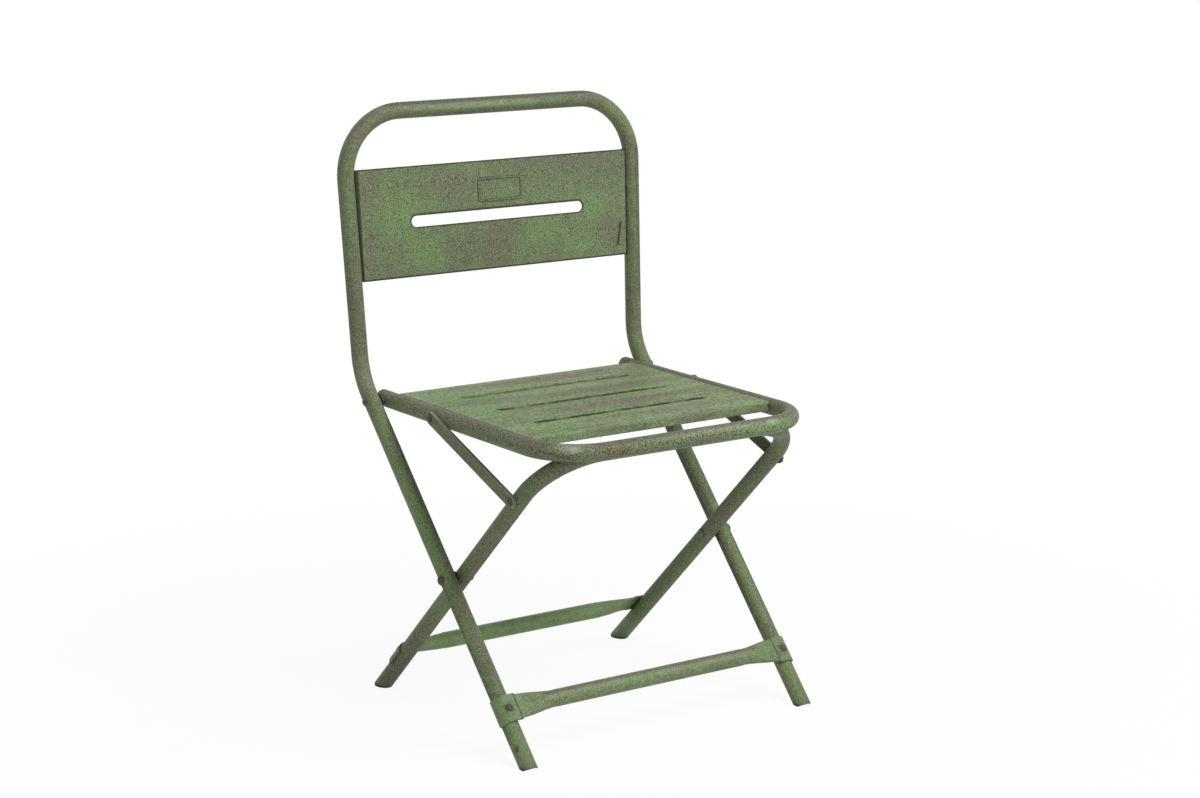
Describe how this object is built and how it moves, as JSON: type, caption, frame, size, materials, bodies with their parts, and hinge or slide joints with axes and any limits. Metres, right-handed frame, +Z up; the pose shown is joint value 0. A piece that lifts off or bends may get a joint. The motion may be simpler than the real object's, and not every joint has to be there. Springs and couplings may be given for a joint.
{
  "type": "folding chair",
  "caption": "Steel folding chair with a bent tube back and front leg frame, crossing rear legs, slotted sheet seat, slotted back panel, side links and strapped stretchers.",
  "frame": {"origin": "on the floor, under the middle of the chair's width and depth", "axes": "+Z up, -Y the way the sitter faces, +X to the sitter's left"},
  "size_m": [0.476, 0.4726, 0.7795],
  "materials": {
    "tube_paint": "worn satin",
    "sheet_paint": "worn satin",
    "leg_paint": "worn satin",
    "rivet_steel": "rusted"
  },
  "bodies": {
    "back": {"back_frame": "tube_paint", "back_panel": "sheet_paint", "front_stretcher": "tube_paint", "right_seat_pivot_rivet": "rivet_steel", "right_leg_pivot_rivet": "rivet_steel", "right_seat_pivot_washer": "rivet_steel", "right_leg_pivot_washer": "rivet_steel", "front_right_stretcher_rivet": "rivet_steel", "left_seat_pivot_rivet": "rivet_steel", "left_leg_pivot_rivet": "rivet_steel", "left_seat_pivot_washer": "rivet_steel", "left_leg_pivot_washer": "rivet_steel", "front_left_stretcher_rivet": "rivet_steel"},
    "seat": {"seat_frame": "tube_paint", "seat_plate": "sheet_paint", "right_link_seat_rivet": "rivet_steel", "left_link_seat_rivet": "rivet_steel"},
    "rear_legs": {"rear_leg_frame": "leg_paint", "rear_stretcher": "tube_paint", "rear_right_stretcher_rivet": "rivet_steel", "rear_left_stretcher_rivet": "rivet_steel"},
    "right_link": {"right_link": "leg_paint", "right_link_leg_rivet": "rivet_steel"},
    "left_link": {"left_link": "leg_paint", "left_link_leg_rivet": "rivet_steel"}
  },
  "joints": [
    {"name": "seat_fold", "type": "hinge", "parent": "back", "child": "seat", "pos_m": [0, 0.17341, 0.3982], "axis": [-1, 0, 0], "range_deg": [0, 94]},
    {"name": "rear_leg_fold", "type": "hinge", "parent": "back", "child": "rear_legs", "pos_m": [0, -0.00758, 0.1993], "axis": [-1, 0, 0], "range_deg": [0, 68.55]},
    {"name": "right_link_swing", "type": "hinge", "parent": "seat", "child": "right_link", "pos_m": [0, 0.04441, 0.39742], "axis": [1, 0, 0], "range_deg": [0, 126.13]},
    {"name": "left_link_swing", "type": "hinge", "parent": "seat", "child": "left_link", "pos_m": [0, 0.04441, 0.39742], "axis": [1, 0, 0], "range_deg": [0, 126.13]}
  ],
  "couplings": [
    {"joint": "rear_leg_fold", "follows": "seat_fold", "ratio": 0.72914},
    {"joint": "right_link_swing", "follows": "seat_fold", "ratio": 1.3417},
    {"joint": "left_link_swing", "follows": "seat_fold", "ratio": 1.3417}
  ]
}
